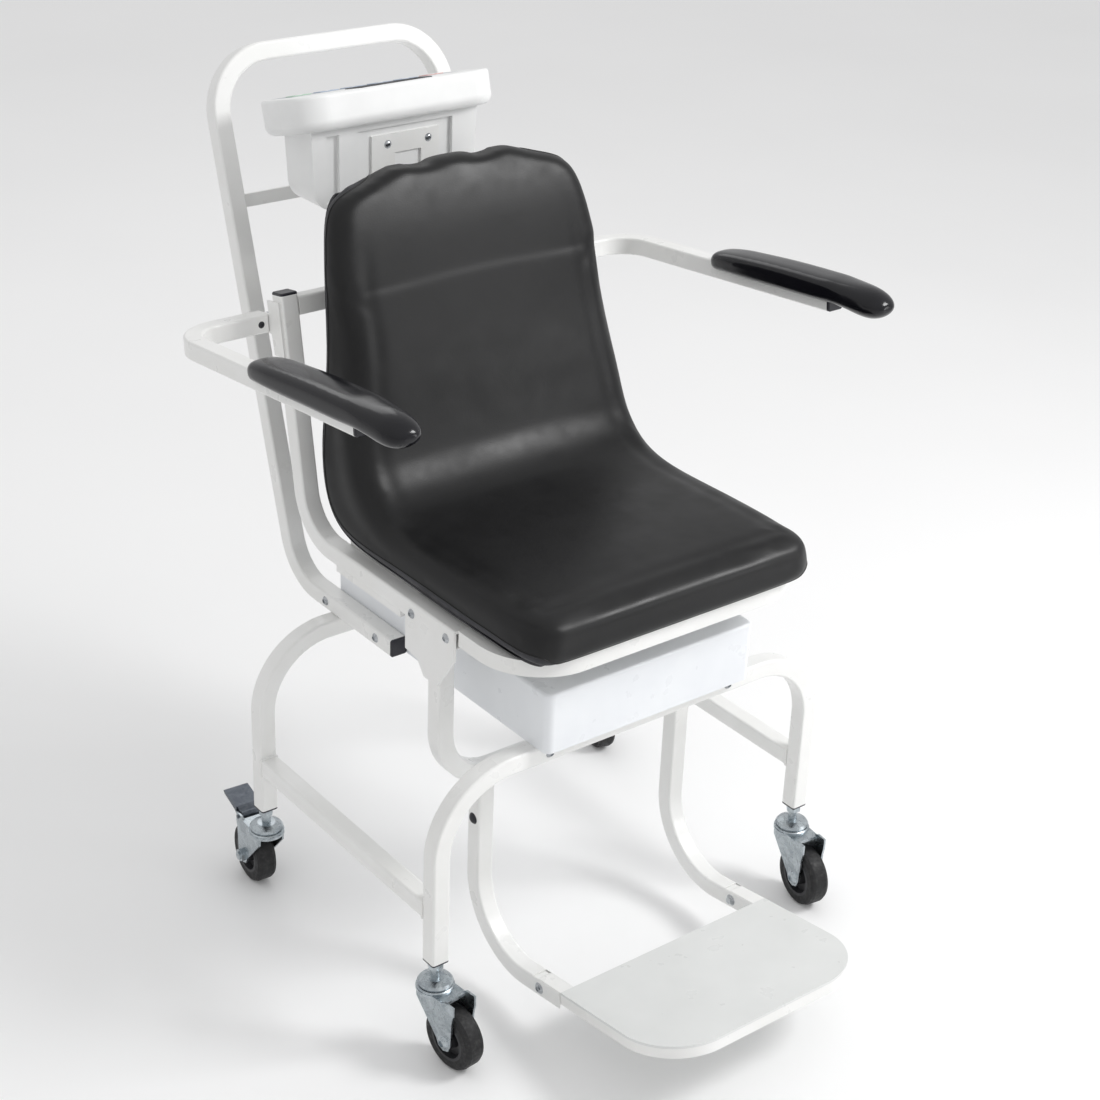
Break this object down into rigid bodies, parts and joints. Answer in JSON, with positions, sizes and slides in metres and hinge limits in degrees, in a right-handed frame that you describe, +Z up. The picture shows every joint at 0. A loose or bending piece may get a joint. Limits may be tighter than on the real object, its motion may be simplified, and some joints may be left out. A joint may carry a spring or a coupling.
{
  "type": "wheeled chair scale",
  "caption": "Wheeled weighing chair with a tubular steel base on swivel casters, moulded seat, folding arms and footplate, load-cell housing and a display console on the push bar.",
  "frame": {"origin": "on the floor under the middle of the overall width and length, chair facing -Y", "axes": "+X towards the sitter's left, +Y rearward towards the push bar, +Z up"},
  "size_m": [0.685, 0.912, 0.9765],
  "materials": {
    "frame_paint": "white powder coat, semi-gloss",
    "housing_paint": "cool white powder coat, semi-gloss",
    "cell_alloy": "milled",
    "zinc": "bright zinc plate",
    "tyre_rubber": "smooth black rubber",
    "hub_plastic": "dark grey moulded hub",
    "pedal_metal": "dark grey stamped pedal",
    "screw_steel": "plated steel",
    "black_plastic": "black moulded plastic",
    "seat_skin": "black moulded skin over foam, soft sheen",
    "shell_plastic": "black moulded backing",
    "arm_pad_skin": "glossy black skin over foam",
    "console_white": "white moulded plastic, satin",
    "display_glass": "grey-green display window",
    "keypad_grey": "printed membrane",
    "board_green": "solder mask",
    "battery_wrap": "shrink wrap"
  },
  "bodies": {
    "base_frame": {"back_cross_tube": "frame_paint", "battery_pack": "battery_wrap", "bracket_bolts": "screw_steel", "carrier_plate": "frame_paint", "caster_stems": "zinc", "circuit_board": "board_green", "console_body": "console_white", "console_bracket": "frame_paint", "console_lid": "console_white", "display_window": "display_glass", "end_caps": "black_plastic", "footrest_hanger": "frame_paint", "frame_bolts": "screw_steel", "front_leg_frame": "frame_paint", "housing_cover": "housing_paint", "housing_floor": "housing_paint", "keypad": "keypad_grey", "left_base_rail": "frame_paint", "left_footrest_tube": "frame_paint", "left_seat_frame": "frame_paint", "left_side_bracket": "frame_paint", "leg_end_plugs": "black_plastic", "load_cell": "cell_alloy", "load_cell_mounts": "housing_paint", "pivot_pins": "screw_steel", "push_bar": "frame_paint", "rear_leg_frame": "frame_paint", "right_base_rail": "frame_paint", "right_footrest_tube": "frame_paint", "right_seat_frame": "frame_paint", "right_side_bracket": "frame_paint", "seat_pad": "seat_skin", "seat_shell": "shell_plastic", "seat_tray": "frame_paint"},
    "front_right_swivel": {"front_right_fork": "zinc", "front_right_axle": "zinc"},
    "front_right_wheel": {"front_right_tyre": "tyre_rubber", "front_right_hub": "hub_plastic"},
    "front_left_swivel": {"front_left_fork": "zinc", "front_left_axle": "zinc"},
    "front_left_wheel": {"front_left_tyre": "tyre_rubber", "front_left_hub": "hub_plastic"},
    "rear_right_swivel": {"rear_right_fork": "zinc", "rear_right_axle": "zinc"},
    "rear_right_wheel": {"rear_right_tyre": "tyre_rubber", "rear_right_hub": "hub_plastic"},
    "rear_right_brake": {"rear_right_brake_pedal": "pedal_metal"},
    "rear_left_swivel": {"rear_left_fork": "zinc", "rear_left_axle": "zinc"},
    "rear_left_wheel": {"rear_left_tyre": "tyre_rubber", "rear_left_hub": "hub_plastic"},
    "rear_left_brake": {"rear_left_brake_pedal": "pedal_metal"},
    "right_arm": {"right_arm_tube": "frame_paint", "right_arm_pad": "arm_pad_skin", "right_arm_fittings": "black_plastic"},
    "left_arm": {"left_arm_tube": "frame_paint", "left_arm_pad": "arm_pad_skin", "left_arm_fittings": "black_plastic"},
    "footplate": {"footplate": "frame_paint", "footplate_frame": "frame_paint"}
  },
  "joints": [
    {"name": "front_right_swivel", "type": "hinge", "parent": "base_frame", "child": "front_right_swivel", "pos_m": [-0.27, -0.19386, 0.086], "axis": [0, 0, 1], "continuous": true},
    {"name": "front_right_roll", "type": "hinge", "parent": "front_right_swivel", "child": "front_right_wheel", "pos_m": [-0.26645, -0.22768, 0.0375], "axis": [0.9945, 0.1045, 0], "continuous": true},
    {"name": "front_left_swivel", "type": "hinge", "parent": "base_frame", "child": "front_left_swivel", "pos_m": [0.27, -0.19386, 0.086], "axis": [0, 0, 1], "continuous": true},
    {"name": "front_left_roll", "type": "hinge", "parent": "front_left_swivel", "child": "front_left_wheel", "pos_m": [0.26527, -0.22753, 0.0375], "axis": [0.9903, -0.1392, 0], "continuous": true},
    {"name": "rear_right_swivel", "type": "hinge", "parent": "base_frame", "child": "rear_right_swivel", "pos_m": [-0.27, 0.16814, 0.086], "axis": [0, 0, 1], "continuous": true},
    {"name": "rear_right_roll", "type": "hinge", "parent": "rear_right_swivel", "child": "rear_right_wheel", "pos_m": [-0.26763, 0.20206, 0.0375], "axis": [-0.9976, 0.0698, 0], "continuous": true},
    {"name": "rear_right_brake", "type": "hinge", "parent": "rear_right_swivel", "child": "rear_right_brake", "pos_m": [-0.267, 0.21103, 0.0885], "axis": [-0.9976, 0.0698, 0], "range_deg": [0, 8]},
    {"name": "rear_left_swivel", "type": "hinge", "parent": "base_frame", "child": "rear_left_swivel", "pos_m": [0.27, 0.16814, 0.086], "axis": [0, 0, 1], "continuous": true},
    {"name": "rear_left_roll", "type": "hinge", "parent": "rear_left_swivel", "child": "rear_left_wheel", "pos_m": [0.28051, 0.20047, 0.0375], "axis": [-0.9511, 0.309, 0], "continuous": true},
    {"name": "rear_left_brake", "type": "hinge", "parent": "rear_left_swivel", "child": "rear_left_brake", "pos_m": [0.28329, 0.20903, 0.0885], "axis": [-0.9511, 0.309, 0], "range_deg": [0, 8]},
    {"name": "right_arm_fold", "type": "hinge", "parent": "base_frame", "child": "right_arm", "pos_m": [-0.213, 0.24314, 0.716], "axis": [-1, 0, 0], "range_deg": [0, 95]},
    {"name": "left_arm_fold", "type": "hinge", "parent": "base_frame", "child": "left_arm", "pos_m": [0.213, 0.24314, 0.716], "axis": [-1, 0, 0], "range_deg": [0, 95]},
    {"name": "footplate_fold", "type": "hinge", "parent": "base_frame", "child": "footplate", "pos_m": [0, -0.23586, 0.058], "axis": [-1, 0, 0], "range_deg": [0, 92]}
  ]
}
